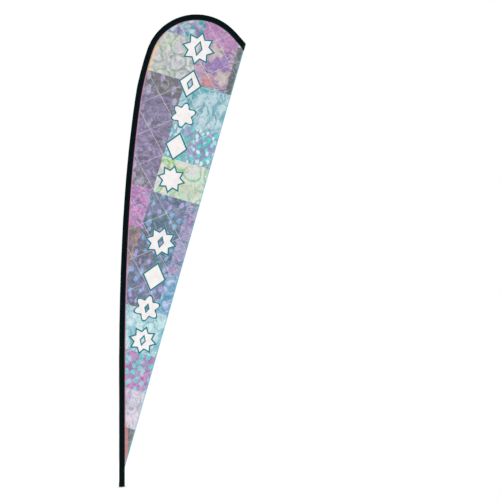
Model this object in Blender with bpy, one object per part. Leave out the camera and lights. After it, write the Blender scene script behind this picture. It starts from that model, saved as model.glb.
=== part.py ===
"""Teardrop flag: a two-sided printed sail sewn to a black sleeve, on a bent four-piece pole that turns on a
swivel spindle. Metres, +Z up. The sail lies in the XZ plane with its sleeve on the left and its front
towards -Y. The origin is the centre of the spindle's foot, on the axis that the flag turns about."""

import math

import bmesh
import bpy
from mathutils import Vector

# Leading edge, from the foot up and over the crown to the nose. The sleeve's outer edge follows it.
STRAIGHT_RUN = 0.80
BENDS = ((0.932, 15.0), (0.666, 8.7), (0.345, 1.81))  # length and radius of each bend below the crown
CROWN_LENGTH = 0.651
CROWN_RADIUS = 0.324
NOSE_LENGTH = 0.125  # where the pole's end bends less
NOSE_RADIUS = 0.78

# The trailing edge is a straight line from here to the nose.
PRINT_FOOT = 0.121  # height at which the print leaves the sleeve

# Pole: each section plugs into the one below it
LOWER_TUBE_OD = 0.019
TUBE_WALLS = (0.0015, 0.0017, 0.0015)  # lower, second and third tubes
UPPER_SECTION = 0.86  # mouth to mouth, for the second and third tubes
PLUG_DEPTHS = (0.10, 0.08, 0.06)  # how far each section reaches into the one below
ROD_TIP_RADIUS = 0.00275
COLLAR_WALL = 0.0008
COLLAR_LENGTH = 0.022
STOP_LENGTH = 0.008
CAP_WALL = 0.0019
CAP_DEPTH = 0.022

# Swivel at the foot
SPINDLE_RADIUS = 0.006
SPINDLE_FLANGE = 0.006
WASHER_THICKNESS = 0.0015
BUSH_FLANGE = 0.002
BUSH_LENGTH = 0.025
BUSH_SPACING = 0.085  # from one bush to the next
END_FLOAT = 0.0006  # lets the pole turn freely under the retaining washer
SCREW_RADIUS = 0.0025
SCREW_LENGTH = 0.014
SCREW_HEAD_RADIUS = 0.0045
SCREW_HEAD_HEIGHT = 0.004
SCREW_CHAMFER = 0.0006

# Cloth
SLEEVE_WALL = 0.001
THROAT = 0.0032  # from the loop round the pole to the stitched lips
LIP_WIDTH = 0.010
TUCK = 0.008  # how far the sail reaches in between the lips
CLOTH = 0.0006
HEM_WIDTH = 0.012
HEM_EDGE = 0.0005
FOOT_HEM_HEIGHT = 0.022
FOOT_HEM_WALL = 0.0008
SLEEVE_LIFT = 0.002  # keeps the sleeve's open end off the base
WEBBING_TOP = 0.074
TAPE = 0.0012
PAD = 0.004
THREAD_WIDTH = 0.0008
THREAD_HEIGHT = 0.0004
SEAM_ROWS = (0.0020, 0.0065)  # the two rows of stitches, from the lip's edge
HEM_ROW = 0.008  # the stitches along the trailing edge, from the edge

# Fits and fineness
GAP = 0.0003  # between pieces that touch or slide
SAG = 0.00015  # the most a chord may miss a bend by
ROUND = 24  # sides of a round piece
ROUND_FINE = 12  # sides of a thin one
LOOP_POINTS = 12  # corners round the sleeve's loop, an even number


def tube_radii():
    """Outer and inner radius of each tube, from the bottom up, then the outer radius of the tip rod."""
    radii, outer = [], LOWER_TUBE_OD / 2
    for wall in TUBE_WALLS:
        radii.append((outer, outer - wall))
        outer -= wall + GAP
    return radii, outer


TUBES, ROD_RADIUS = tube_radii()
MOUTHS = [STRAIGHT_RUN + i * UPPER_SECTION for i in range(3)]
CAP_RADIUS = ROD_TIP_RADIUS + GAP + CAP_WALL
COLLAR_RADII = [outer + GAP + COLLAR_WALL for outer, _ in TUBES]
SLEEVE_CHORD = SLEEVE_WALL + 2 * (COLLAR_RADII[0] + GAP) + THROAT + LIP_WIDTH
LIP_START = SLEEVE_CHORD - LIP_WIDTH
SAIL_EDGE = SLEEVE_CHORD - TUCK
STACK = 1.5 * CLOTH + GAP  # half the thickness of liner and both panels
LIP_INSIDE = STACK + GAP  # half the gap between the lips
LIP_OUTSIDE = LIP_INSIDE + SLEEVE_WALL
LEADING_X = -(SLEEVE_WALL + GAP + COLLAR_RADII[0])


# ---- the leading edge and what is measured from it ----


def stretches():
    """(length, radius) of each stretch of the leading edge. The first and last are straight, and the last is
    the run past the nose that is cut off the sleeve."""
    crown = [(CROWN_LENGTH, CROWN_RADIUS), (NOSE_LENGTH, NOSE_RADIUS)]
    return [(STRAIGHT_RUN, math.inf), *BENDS, *crown, (4 * SLEEVE_CHORD, math.inf)]


def edge_at(s):
    """Point (x, z) on the leading edge at arc length s, and its heading, from +Z towards +X."""
    x, z, heading = LEADING_X, 0.0, 0.0
    for length, radius in stretches():
        run = min(s, length)
        turn = 0.0 if math.isinf(radius) else run / radius
        if turn:
            x += radius * (math.cos(heading) - math.cos(heading + turn))
            z += radius * (math.sin(heading + turn) - math.sin(heading))
        else:
            z += run * math.cos(heading)
            x += run * math.sin(heading)
        heading += turn
        s -= run
        if s <= 0:
            break
    return x, z, heading


def inset_at(s, inset):
    """The point that lies inset from the leading edge, towards the sail."""
    x, z, heading = edge_at(s)
    return x + inset * math.cos(heading), z - inset * math.sin(heading)


def bend_grid():
    """Arc lengths close enough together that a chord misses no bend by more than SAG."""
    grid, start = [0.0], 0.0
    for length, radius in stretches():
        steps = 1 if math.isinf(radius) else math.ceil(length / math.sqrt(8 * radius * SAG))
        grid += [start + length * (i + 1) / steps for i in range(steps)]
        start += length
    return grid


GRID = bend_grid()
NOSE = GRID[-2]


def between(start, end):
    """start, the grid's stations between the two, and end. It runs either way."""
    low, high = min(start, end), max(start, end)
    inner = [s for s in GRID if low + 1e-6 < s < high - 1e-6]
    return [start, *(inner if start < end else inner[::-1]), end]


TRAILING_FOOT = inset_at(PRINT_FOOT, SLEEVE_CHORD)
TRAILING_TOP = inset_at(NOSE, 0.0)
TRAILING_LEAN = math.atan2(TRAILING_TOP[0] - TRAILING_FOOT[0], TRAILING_TOP[1] - TRAILING_FOOT[1])


def behind_trailing_edge(x, z):
    """How far the point lies inside the trailing edge, towards the sleeve."""
    dx, dz = x - TRAILING_FOOT[0], z - TRAILING_FOOT[1]
    return dz * math.sin(TRAILING_LEAN) - dx * math.cos(TRAILING_LEAN)


def crossings(inset, hem):
    """Arc lengths at which a line inset from the leading edge comes within hem of the trailing edge: first, last."""

    def depth(s):
        return behind_trailing_edge(*inset_at(s, inset)) - hem

    found = []
    for a, b in zip(GRID, GRID[1:]):
        if depth(a) * depth(b) < 0:
            for _ in range(40):
                middle = (a + b) / 2
                if depth(a) * depth(middle) <= 0:
                    b = middle
                else:
                    a = middle
            found.append(a)
    return found[0], found[-1]


def across_cut(inner, outer):
    """Arc lengths before and past the whole cut that the trailing edge makes across the sleeve, from inner
    behind that edge to outer beyond it."""
    first = min(crossings(inset, inner)[1] for inset in (0.0, SLEEVE_CHORD))
    last = max(crossings(inset, -outer)[1] for inset in (0.0, SLEEVE_CHORD))
    return first, last


def loop_radius(s):
    """Inner radius of the sleeve's loop. It narrows from collar to collar, up to the cap."""
    marks = [*zip(MOUTHS, (r + GAP for r in COLLAR_RADII)), (NOSE, CAP_RADIUS + GAP)]
    if s <= marks[0][0]:
        return marks[0][1]
    for (s0, r0), (s1, r1) in zip(marks, marks[1:]):
        if s <= s1:
            return r0 + (r1 - r0) * (s - s0) / (s1 - s0)
    return marks[-1][1]


def pole_at(s):
    """Centre of the pole beside arc length s of the leading edge, and its heading."""
    x, z = inset_at(s, SLEEVE_WALL + loop_radius(s))
    return x, z, edge_at(s)[2]


# ---- makers ----


def finish(name, colour, roughness, metallic=0.0):
    material = bpy.data.materials.new(name)
    material.use_nodes = True
    shader = material.node_tree.nodes["Principled BSDF"]
    shader.inputs["Base Color"].default_value = (*colour, 1.0)
    shader.inputs["Roughness"].default_value = roughness
    shader.inputs["Metallic"].default_value = metallic
    return material


def place(bm, name, material, parent, smooth=True):
    """Makes an object of the mesh, with its faces pointing outwards."""
    bmesh.ops.recalc_face_normals(bm, faces=bm.faces)
    mesh = bpy.data.meshes.new(name)
    bm.to_mesh(mesh)
    bm.free()
    if smooth:
        mesh.shade_smooth()
        mesh.set_sharp_from_angle(angle=math.radians(35))
    mesh.materials.append(material)
    obj = bpy.data.objects.new(name, mesh)
    bpy.context.collection.objects.link(obj)
    obj.parent = parent
    return obj


def turned(name, profile, material, parent, sides=ROUND):
    """A piece turned round the pole's bent centreline. profile is (arc length, radius) in order; one that
    starts and ends at radius 0 is solid there, and any other is a closed loop."""
    solid = profile[0][1] == 0
    corners = profile if solid else [*profile, profile[0]]
    points = [corners[0]]
    for (s0, r0), (s1, r1) in zip(corners, corners[1:]):
        for s in between(s0, s1)[1:]:
            share = 1.0 if s1 == s0 else (s - s0) / (s1 - s0)
            points.append((s, r0 + (r1 - r0) * share))
    if not solid:
        points.pop()
    bm = bmesh.new()
    rings = []
    for s, radius in points:
        x, z, heading = pole_at(s)
        across = Vector((math.cos(heading), 0, -math.sin(heading)))
        if radius == 0:
            rings.append([bm.verts.new((x, 0, z))] * sides)
            continue
        ring = []
        for i in range(sides):
            angle = 2 * math.pi * i / sides
            out = across * math.cos(angle) + Vector((0, math.sin(angle), 0))
            ring.append(bm.verts.new(Vector((x, 0, z)) + radius * out))
        rings.append(ring)
    pairs = list(zip(rings, rings[1:]))
    if not solid:
        pairs.append((rings[-1], rings[0]))
    for low, high in pairs:
        for i in range(sides):
            j = (i + 1) % sides
            corners = dict.fromkeys((low[i], low[j], high[j], high[i]))
            bm.faces.new(corners)
    return place(bm, name, material, parent)


def tube(name, start, end, inner, outer, material, parent, sides=ROUND):
    return turned(name, [(start, inner), (start, outer), (end, outer), (end, inner)], material, parent, sides)


def swept(name, section, stations, material, parent):
    """A closed section, as a function of arc length that gives (inset, y) points, swept along the edge."""
    bm = bmesh.new()
    rings = []
    for s in stations:
        ring = []
        for inset, y in section(s):
            x, z = inset_at(s, inset)
            ring.append(bm.verts.new((x, y, z)))
        rings.append(ring)
    for low, high in zip(rings, rings[1:]):
        for i in range(len(low)):
            j = (i + 1) % len(low)
            bm.faces.new((low[i], low[j], high[j], high[i]))
    bm.faces.new(rings[0])
    bm.faces.new(rings[-1])
    return place(bm, name, material, parent)


def fold(s, offset, lip_end=SLEEVE_CHORD):
    """Half-open line round the sleeve at arc length s, offset outwards from its inner face: from one lip's
    edge, round the pole and back to the other's."""
    radius = loop_radius(s) + offset
    centre = SLEEVE_WALL + loop_radius(s)
    lip = LIP_INSIDE + offset
    reach = math.hypot(LIP_START - centre, lip)
    tangent = math.atan2(lip, LIP_START - centre) + math.acos(radius / reach)
    step = (2 * math.pi - 2 * tangent) / (LOOP_POINTS - 1)
    corner = radius / math.cos(step / 2)  # so that the flats between corners touch the circle
    line = [(lip_end, lip), (LIP_START, lip)]
    for i in range(LOOP_POINTS):
        angle = tangent + step * i
        line.append((centre + corner * math.cos(angle), corner * math.sin(angle)))
    return [*line, (LIP_START, -lip), (lip_end, -lip)]


def folded_cloth(inside, outside):
    """Section of a folded strip between two offsets from the sleeve's inner face."""
    return lambda s: [*fold(s, outside), *reversed(fold(s, inside))]


def strip(inset, width, y0, y1):
    """Section of a flat strip, centred at inset."""
    left, right = inset - width / 2, inset + width / 2
    return lambda s: [(left, y0), (right, y0), (right, y1), (left, y1)]


def plate(name, outline, y0, y1, material, parent):
    """A flat piece of cloth, from an outline in x and z."""
    bm = bmesh.new()
    face = bm.faces.new([bm.verts.new((x, y0, z)) for x, z in outline])
    grown = bmesh.ops.extrude_face_region(bm, geom=[face])["geom"]
    moved = [g for g in grown if isinstance(g, bmesh.types.BMVert)]
    bmesh.ops.translate(bm, vec=(0, y1 - y0, 0), verts=moved)
    return place(bm, name, material, parent, smooth=False)


def slab(name, near, far):
    """A hidden block from near to far behind the trailing edge's upper half, for cutting. It reaches past the nose."""
    long = 3 * sum(length for length, _ in stretches())
    middle = math.dist(TRAILING_FOOT, TRAILING_TOP) / 2
    along = Vector((math.sin(TRAILING_LEAN), 0, math.cos(TRAILING_LEAN)))
    inwards = Vector((-math.cos(TRAILING_LEAN), 0, math.sin(TRAILING_LEAN)))
    foot = Vector((TRAILING_FOOT[0], 0, TRAILING_FOOT[1]))
    bm = bmesh.new()
    corners = [(near, middle), (far, middle), (far, long), (near, long)]
    ring = [foot + inwards * depth + along * up for depth, up in corners]
    face = bm.faces.new([bm.verts.new(p + Vector((0, -0.1, 0))) for p in ring])
    grown = bmesh.ops.extrude_face_region(bm, geom=[face])["geom"]
    moved = [g for g in grown if isinstance(g, bmesh.types.BMVert)]
    bmesh.ops.translate(bm, vec=(0, 0.2, 0), verts=moved)
    block = place(bm, name, None, None, smooth=False)
    block.hide_render = True
    block.display_type = "WIRE"
    return block


def trim(obj, block, operation):
    cut = obj.modifiers.new("trim", "BOOLEAN")
    cut.operation = operation
    cut.object = block
    cut.solver = "EXACT"


# ---- the pieces ----


def make_spindle(parent, steel, nylon):
    """The fixed pin with its flange, and what keeps the pole on it."""
    bush_top = foot_bush_bottom() + BUSH_SPACING + BUSH_LENGTH
    top = bush_top + END_FLOAT
    hole_bottom = top - SCREW_LENGTH - GAP
    flange = TUBES[0][0]
    screw_hole = SCREW_RADIUS + GAP
    profile = [
        (0, 0),
        (0, flange),
        (SPINDLE_FLANGE, flange),
        (SPINDLE_FLANGE, SPINDLE_RADIUS),
        (top, SPINDLE_RADIUS),
        (top, screw_hole),
        (hole_bottom, screw_hole),
        (hole_bottom, 0),
    ]
    turned("spindle", profile, steel, parent)
    washer = SPINDLE_FLANGE + GAP
    tube("thrust_washer", washer, washer + WASHER_THICKNESS, SPINDLE_RADIUS + GAP, flange, nylon, parent)
    keeper = top + GAP
    keeper_top = keeper + WASHER_THICKNESS
    outer = TUBES[0][1] - 2 * GAP
    tube("retaining_washer", keeper, keeper_top, SCREW_RADIUS + GAP, outer, steel, parent)
    head = keeper_top + GAP
    head_top = head + SCREW_HEAD_HEIGHT
    profile = [
        (head - GAP - WASHER_THICKNESS - SCREW_LENGTH, 0),
        (head - GAP - WASHER_THICKNESS - SCREW_LENGTH, SCREW_RADIUS),
        (head, SCREW_RADIUS),
        (head, SCREW_HEAD_RADIUS),
        (head_top - SCREW_CHAMFER, SCREW_HEAD_RADIUS),
        (head_top, SCREW_HEAD_RADIUS - SCREW_CHAMFER),
        (head_top, 0),
    ]
    turned("retaining_screw", profile, steel, parent)


def foot_bush_bottom():
    """Height of the foot bush's flange, on the thrust washer."""
    return SPINDLE_FLANGE + WASHER_THICKNESS + 2 * GAP


def make_lower_pole(parent, aluminium, steel, nylon):
    """The straight tube that turns on the spindle, with its two bushes and the collar round its mouth."""
    outer, inner = TUBES[0]
    bottom = foot_bush_bottom()
    body = inner - GAP
    bore = SPINDLE_RADIUS + GAP
    flange_top = bottom + BUSH_FLANGE
    profile = [
        (bottom, bore),
        (bottom, outer),
        (flange_top, outer),
        (flange_top, body),
        (bottom + BUSH_LENGTH, body),
        (bottom + BUSH_LENGTH, bore),
    ]
    turned("foot_bush", profile, nylon, parent)
    second = bottom + BUSH_SPACING
    tube("top_bush", second, second + BUSH_LENGTH, bore, body, nylon, parent)
    tube("lower_tube", flange_top + GAP, MOUTHS[0], inner, outer, aluminium, parent)
    make_collar("lower_tube_collar", 0, steel, parent)


def make_collar(name, index, steel, parent):
    """The ring that keeps a tube's mouth from splitting."""
    mouth = MOUTHS[index]
    tube(name, mouth - COLLAR_LENGTH, mouth, TUBES[index][0] + GAP, COLLAR_RADII[index], steel, parent)


def make_stop(name, index, radius, steel, parent):
    """The ring on an upper section that seats on the mouth below it."""
    start = MOUTHS[index] + GAP
    tube(name, start, start + STOP_LENGTH, radius + GAP, TUBES[index][0], steel, parent)


def cap_centre():
    """Arc length of the centre of the cap's round end, which rests on the pad in the nose."""
    clear = 2 * GAP + PAD + CAP_RADIUS
    low, high = MOUTHS[2], NOSE
    for _ in range(40):
        middle = (low + high) / 2
        x, z, _ = pole_at(middle)
        if behind_trailing_edge(x, z) > clear:
            low = middle
        else:
            high = middle
    return low


def make_upper_pole(parent, fibreglass, steel, nylon):
    """The two bent tubes, the tapered tip rod and its cap."""
    for index, name in ((1, "second"), (2, "third")):
        outer, inner = TUBES[index]
        start = MOUTHS[index - 1] - PLUG_DEPTHS[index - 1]
        tube(f"{name}_tube", start, MOUTHS[index], inner, outer, fibreglass, parent)
        make_stop(f"{name}_tube_stop", index - 1, outer, steel, parent)
        make_collar(f"{name}_tube_collar", index, steel, parent)
    end = cap_centre()
    root = MOUTHS[2] - PLUG_DEPTHS[2]
    taper = MOUTHS[2] + STOP_LENGTH + 2 * GAP
    profile = [(root, 0), (root, ROD_RADIUS), (taper, ROD_RADIUS), (end, ROD_TIP_RADIUS), (end, 0)]
    turned("tip_rod", profile, fibreglass, parent, ROUND_FINE)
    make_stop("tip_rod_stop", 2, ROD_RADIUS, steel, parent)
    bore = ROD_TIP_RADIUS + GAP + CAP_DEPTH * (ROD_RADIUS - ROD_TIP_RADIUS) / (end - taper)
    steps = 5
    dome = [
        (end + CAP_RADIUS * math.sin(a), CAP_RADIUS * math.cos(a))
        for a in (math.pi / 2 * i / steps for i in range(steps))
    ]
    profile = [
        (end + GAP, 0),
        (end + GAP, bore),
        (end - CAP_DEPTH, bore),
        (end - CAP_DEPTH, CAP_RADIUS),
        *dome,
        (end + CAP_RADIUS, 0),
    ]
    turned("tip_cap", profile, nylon, parent, ROUND_FINE)


def make_sleeve(parent, cloth, webbing):
    """The folded strip that takes the pole, closed at the nose with a tape over a pad and hemmed at the foot."""
    before, past = across_cut(PAD + 2 * GAP, TAPE + 2 * GAP)
    sleeve = swept("pole_sleeve", folded_cloth(0, SLEEVE_WALL), between(SLEEVE_LIFT, past), cloth, parent)
    trim(sleeve, slab("trailing_cutter", 0, -10 * SLEEVE_CHORD), "DIFFERENCE")
    hem = folded_cloth(SLEEVE_WALL + GAP, SLEEVE_WALL + GAP + FOOT_HEM_WALL)
    swept("sleeve_foot_hem", hem, [SLEEVE_LIFT, SLEEVE_LIFT + FOOT_HEM_HEIGHT], cloth, parent)
    filler = strip(SLEEVE_CHORD - LIP_WIDTH / 2, LIP_WIDTH - 2 * GAP, -STACK, STACK)
    swept("foot_webbing", filler, [SLEEVE_LIFT, WEBBING_TOP], webbing, parent)
    end = between(before, past)
    tape = swept("nose_tape", lambda s: fold(s, SLEEVE_WALL), end, webbing, parent)
    trim(tape, slab("tape_cutter", -GAP, -GAP - TAPE), "INTERSECT")
    pad = swept("nose_pad", lambda s: fold(s, -GAP, LIP_START)[1:-1], end, webbing, parent)
    trim(pad, slab("pad_cutter", GAP, GAP + PAD), "INTERSECT")


def sail_outline(hem):
    """Outline of a layer of the sail that stops hem short of the trailing edge."""
    low, high = crossings(SAIL_EDGE, hem)
    return [inset_at(s, SAIL_EDGE) for s in between(low, high)]


def make_sail(parent, print_cloth, liner):
    """Front and back prints, the liner between them, and the edge that is turned in along the trailing side."""
    half = CLOTH / 2
    near = half + GAP
    outline = sail_outline(0.0)
    plate("front_print", outline, -near, -near - CLOTH, print_cloth, parent)
    plate("back_print", outline, near, near + CLOTH, print_cloth, parent)
    plate("blockout_liner", sail_outline(HEM_WIDTH + 2 * HEM_EDGE), -half, half, liner, parent)
    edges = [crossings(SAIL_EDGE, hem) for hem in (HEM_EDGE, HEM_EDGE + HEM_WIDTH)]
    corners = [edges[0][0], edges[0][1], edges[1][1], edges[1][0]]
    turned_in = [inset_at(s, SAIL_EDGE) for s in corners]
    plate("trailing_hem_fold", turned_in, -half, half, print_cloth, parent)


def make_threads(parent, thread, pale_thread):
    """Two rows of stitches through the sleeve's lips and one along the trailing edge, on each side."""
    end = crossings(SLEEVE_CHORD, 0.0)[1] - HEM_ROW
    start = SLEEVE_LIFT + FOOT_HEM_HEIGHT + THREAD_WIDTH
    for side, sign in (("front", -1), ("back", 1)):
        for row, name in zip(SEAM_ROWS, ("outer", "inner")):
            y0 = sign * (LIP_OUTSIDE + GAP)
            section = strip(SLEEVE_CHORD - row, THREAD_WIDTH, y0, y0 + sign * THREAD_HEIGHT)
            swept(f"seam_thread_{side}_{name}", section, between(start, end), thread, parent)
        y0 = sign * (STACK + GAP)
        low, high = (crossings(SLEEVE_CHORD + 2 * GAP, HEM_ROW + d) for d in (0, THREAD_WIDTH))
        corners = [inset_at(s, SLEEVE_CHORD + 2 * GAP) for s in (low[0], low[1], high[1], high[0])]
        plate(f"hem_thread_{side}", corners, y0, y0 + sign * THREAD_HEIGHT, pale_thread, parent)


def clear_scene():
    for obj in list(bpy.data.objects):
        bpy.data.objects.remove(obj, do_unlink=True)


def group(name):
    """An empty on the axis that its pieces move on."""
    empty = bpy.data.objects.new(name, None)
    bpy.context.collection.objects.link(empty)
    return empty


def main():
    clear_scene()
    aluminium = finish("aluminium", (0.62, 0.63, 0.65), 0.35, 1.0)
    steel = finish("steel", (0.55, 0.55, 0.56), 0.30, 1.0)
    nylon = finish("nylon", (0.03, 0.03, 0.03), 0.45)
    fibreglass = finish("fibreglass", (0.05, 0.05, 0.055), 0.40)
    black_cloth = finish("black_cloth", (0.008, 0.010, 0.010), 0.85)
    webbing = finish("webbing", (0.010, 0.010, 0.011), 0.80)
    print_cloth = finish("print_cloth", (0.42, 0.40, 0.48), 0.80)
    liner = finish("liner", (0.25, 0.25, 0.26), 0.90)
    thread = finish("thread", (0.015, 0.016, 0.018), 0.60)
    pale_thread = finish("pale_thread", (0.70, 0.74, 0.76), 0.60)
    spindle_group = group("spindle_group")
    lower_pole_group = group("lower_pole_group")
    flag_group = group("flag_group")
    make_spindle(spindle_group, steel, nylon)
    make_lower_pole(lower_pole_group, aluminium, steel, nylon)
    make_upper_pole(flag_group, fibreglass, steel, nylon)
    make_sleeve(flag_group, black_cloth, webbing)
    make_sail(flag_group, print_cloth, liner)
    make_threads(flag_group, thread, pale_thread)


main()
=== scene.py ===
import math

import bmesh
import bpy
import numpy as np
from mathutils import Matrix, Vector


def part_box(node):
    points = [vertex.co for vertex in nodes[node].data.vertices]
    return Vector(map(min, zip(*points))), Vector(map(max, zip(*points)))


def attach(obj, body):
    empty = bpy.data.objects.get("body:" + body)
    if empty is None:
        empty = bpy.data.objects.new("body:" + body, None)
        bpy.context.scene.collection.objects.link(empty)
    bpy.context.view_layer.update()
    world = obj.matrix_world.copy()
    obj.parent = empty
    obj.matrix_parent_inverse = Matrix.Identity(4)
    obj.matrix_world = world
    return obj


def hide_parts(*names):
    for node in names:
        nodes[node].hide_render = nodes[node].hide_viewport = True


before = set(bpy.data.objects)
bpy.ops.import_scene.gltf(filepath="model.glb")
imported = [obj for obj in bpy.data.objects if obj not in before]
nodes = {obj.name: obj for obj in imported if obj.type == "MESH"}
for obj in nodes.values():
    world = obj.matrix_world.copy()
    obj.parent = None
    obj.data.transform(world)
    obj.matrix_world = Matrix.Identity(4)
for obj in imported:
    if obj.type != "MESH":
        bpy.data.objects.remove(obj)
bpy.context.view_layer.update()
print("frame loaded")

# the leading edge, which every piece is measured from

edge = {
    "straight": 0.80,
    "bends": ((0.932, 15.0), (0.666, 8.7), (0.345, 1.81), (0.651, 0.324), (0.125, 0.78)),  # length, radius
    "foot": 0.121,  # height at which the print leaves the sleeve
    "chord": 0.036,  # width of the sleeve
    "lipStart": 0.026,
    "tucked": 0.028,  # how far in the sail starts, between the lips
    "left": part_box("pole_sleeve")[0][0],
    "search": (0.25, 0.14),  # how far before and past the nose a line may end at the trailing edge
}
noseAt = edge["straight"] + sum(length for length, radius in edge["bends"])


def edgeAt(s):
    x, z, heading = edge["left"], 0.0, 0.0
    run = min(s, edge["straight"])
    z += run
    s -= run
    for length, radius in edge["bends"]:
        if s <= 0:
            return x, z, heading
        run = min(s, length)
        turn = run / radius
        x += radius * (math.cos(heading) - math.cos(heading + turn))
        z += radius * (math.sin(heading + turn) - math.sin(heading))
        heading += turn
        s -= run
    s = max(s, 0.0)
    return x + s * math.sin(heading), z + s * math.cos(heading), heading


def insetAt(s, inset):  # the point this far in from the leading edge
    x, z, heading = edgeAt(s)
    return x + inset * math.cos(heading), z - inset * math.sin(heading)


def ease(x):
    x = np.clip(x, 0.0, 1.0)
    return x * x * (3 - 2 * x)


trailFoot = np.array(insetAt(edge["foot"], edge["chord"]))
trailTop = np.array(insetAt(noseAt, 0.0))
trailUp = (trailTop - trailFoot) / np.linalg.norm(trailTop - trailFoot)
trailIn = np.array((-trailUp[1], trailUp[0]))  # towards the sleeve


def behind(x, z):  # how far inside the trailing edge
    return (x - trailFoot[0]) * trailIn[0] + (z - trailFoot[1]) * trailIn[1]


def crossing(inset, depth, low, high):
    # where a line inset from the leading edge comes this near the trailing edge
    atLow = behind(*insetAt(low, inset)) - depth
    for step in range(44):
        middle = (low + high) / 2
        if (behind(*insetAt(middle, inset)) - depth) * atLow > 0:
            low = middle
        else:
            high = middle
    return (low + high) / 2


def noseEnd(inset, depth=0.0):
    before, past = edge["search"]
    return crossing(inset, depth, noseAt - before, noseAt + past)


# makers


def link(name, data):
    made = bpy.data.objects.new(name, data)
    bpy.context.collection.objects.link(made)
    return made


def shell(name, outer, inner, mark=None, sharp=40):
    # a thin closed piece between two grids of points, with the ends and rims closed
    outer, inner = np.asarray(outer, float), np.asarray(inner, float)
    rows, count = outer.shape[:2]
    rings = np.concatenate([outer, inner[:, ::-1]], axis=1)
    size = 2 * count
    points = rings.reshape(-1, 3)
    index = np.arange(rows * size).reshape(rows, size)
    here, there = index[:-1], index[1:]
    faces = np.stack([here, np.roll(here, -1, 1), np.roll(there, -1, 1), there], axis=-1).reshape(-1, 4)
    left = np.arange(count - 1)
    right = size - 1 - left
    start, end = index[0], index[-1]
    first = np.stack([start[left], start[right], start[right - 1], start[left + 1]], axis=-1)
    last = np.stack([end[left], end[left + 1], end[right - 1], end[right]], axis=-1)
    faces = np.concatenate([faces, first, last])
    a, b, c, d = (points[faces[:, i]] for i in range(4))
    volume = (a * np.cross(b, c)).sum() + (a * np.cross(c, d)).sum()
    if volume < 0:
        faces = faces[:, ::-1]
    mesh = bpy.data.meshes.new(name)
    mesh.from_pydata(points.tolist(), [], faces.tolist())
    if mark is not None:  # distance across the cloth and along it, in metres, for the weave
        mark = np.asarray(mark, float)
        flat = np.concatenate([mark, mark[:, ::-1]], axis=1).reshape(-1, 2)
        corners = np.empty(len(mesh.loops), int)
        mesh.loops.foreach_get("vertex_index", corners)
        mesh.uv_layers.new(name="cloth").data.foreach_set("uv", flat[corners].ravel())
    mesh.shade_smooth()
    mesh.set_sharp_from_angle(angle=math.radians(sharp))
    return link(name, mesh)


def finishPiece(piece, body, material, slot, *replaced):
    piece.data.materials.clear()
    piece.data.materials.append(material)
    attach(piece, body)
    if replaced:
        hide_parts(*replaced)


# shader helpers


class Wire:  # a socket that takes part in sums
    def __init__(self, graph, socket):
        self.graph, self.socket = graph, socket

    def __add__(self, other):
        return self.graph.maths("ADD", self, other)

    def __sub__(self, other):
        return self.graph.maths("SUBTRACT", self, other)

    def __rsub__(self, other):
        return self.graph.maths("SUBTRACT", other, self)

    def __mul__(self, other):
        return self.graph.maths("MULTIPLY", self, other)

    __radd__ = __add__
    __rmul__ = __mul__


class Graph:  # one material's nodes
    def __init__(self, name, **fixed):
        self.material = bpy.data.materials.new(name)
        self.material.use_nodes = True
        self.tree = self.material.node_tree
        self.tree.nodes.clear()
        self.shader = self.node("BsdfPrincipled", {}, {k.replace("_", " "): v for k, v in fixed.items()})
        self.node("OutputMaterial", {}, {"Surface": Wire(self, self.shader.outputs[0])})

    def node(self, kind, settings, inputs):
        made = self.tree.nodes.new("ShaderNode" + kind)
        for key, value in settings.items():
            if key == "stops":
                ramp = made.color_ramp
                while len(ramp.elements) < len(value):
                    ramp.elements.new(0.5)
                for element, (place, colour) in zip(ramp.elements, value):
                    element.position = place
                    element.color = colour
            else:
                setattr(made, key, value)
        for key, value in inputs.items():
            if isinstance(value, Wire):
                self.tree.links.new(value.socket, made.inputs[key])
            else:
                made.inputs[key].default_value = value
        return made

    def wire(self, kind, settings, inputs, output=0):
        return Wire(self, self.node(kind, settings, inputs).outputs[output])

    def maths(self, operation, *values):
        return self.wire("Math", {"operation": operation}, dict(enumerate(values)))

    def vector(self, operation, *values, output=0):
        return self.wire("VectorMath", {"operation": operation}, dict(enumerate(values)), output)

    def mix(self, share, a, b):
        return self.wire("Mix", {"data_type": "RGBA"}, {0: share, 6: a, 7: b}, 2)

    def shade(self, share, a, b, blend="MULTIPLY"):
        return self.wire("Mix", {"data_type": "RGBA", "blend_type": blend}, {0: share, 6: a, 7: b}, 2)

    def step(self, value, low, high):
        return self.wire("MapRange", {"interpolation_type": "SMOOTHSTEP"}, {0: value, 1: low, 2: high})

    def noise(self, place, scale, detail=2.0, warp=0.0, output=0, shape="3D"):
        inputs = {"Vector": place, "Scale": scale, "Detail": detail, "Distortion": warp}
        return self.wire("TexNoise", {"noise_dimensions": shape}, inputs, output)

    def cells(self, place, scale, feature="F1", output=0, jitter=1.0, shape="2D"):
        inputs = {"Vector": place, "Scale": scale, "Randomness": jitter}
        return self.wire("TexVoronoi", {"feature": feature, "voronoi_dimensions": shape}, inputs, output)

    def ramp(self, share, stops):
        return self.wire("ValToRGB", {"stops": stops}, {0: share})

    def shaped(self, place, turn=0.0, scale=(1, 1, 1), shift=(0, 0, 0)):
        inputs = {"Vector": place, "Location": shift, "Rotation": (0, 0, turn), "Scale": scale}
        return self.wire("Mapping", {}, inputs)

    def to(self, socket, value):
        self.tree.links.new(value.socket, self.shader.inputs[socket])

    def bump(self, height, strength, distance):
        inputs = {"Strength": strength, "Distance": distance, "Height": height}
        self.to("Normal", self.wire("Bump", {}, inputs))

    def where(self):
        return self.wire("TexCoord", {}, {}, "Object")

    def cloth(self):
        return self.wire("UVMap", {"uv_map": "cloth"}, {})


def paint(code):  # a colour from its hex code
    parts = [int(code[i : i + 2], 16) / 255 for i in (0, 2, 4)]
    return (*((c / 12.92 if c <= 0.04045 else ((c + 0.055) / 1.055) ** 2.4) for c in parts), 1.0)


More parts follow.
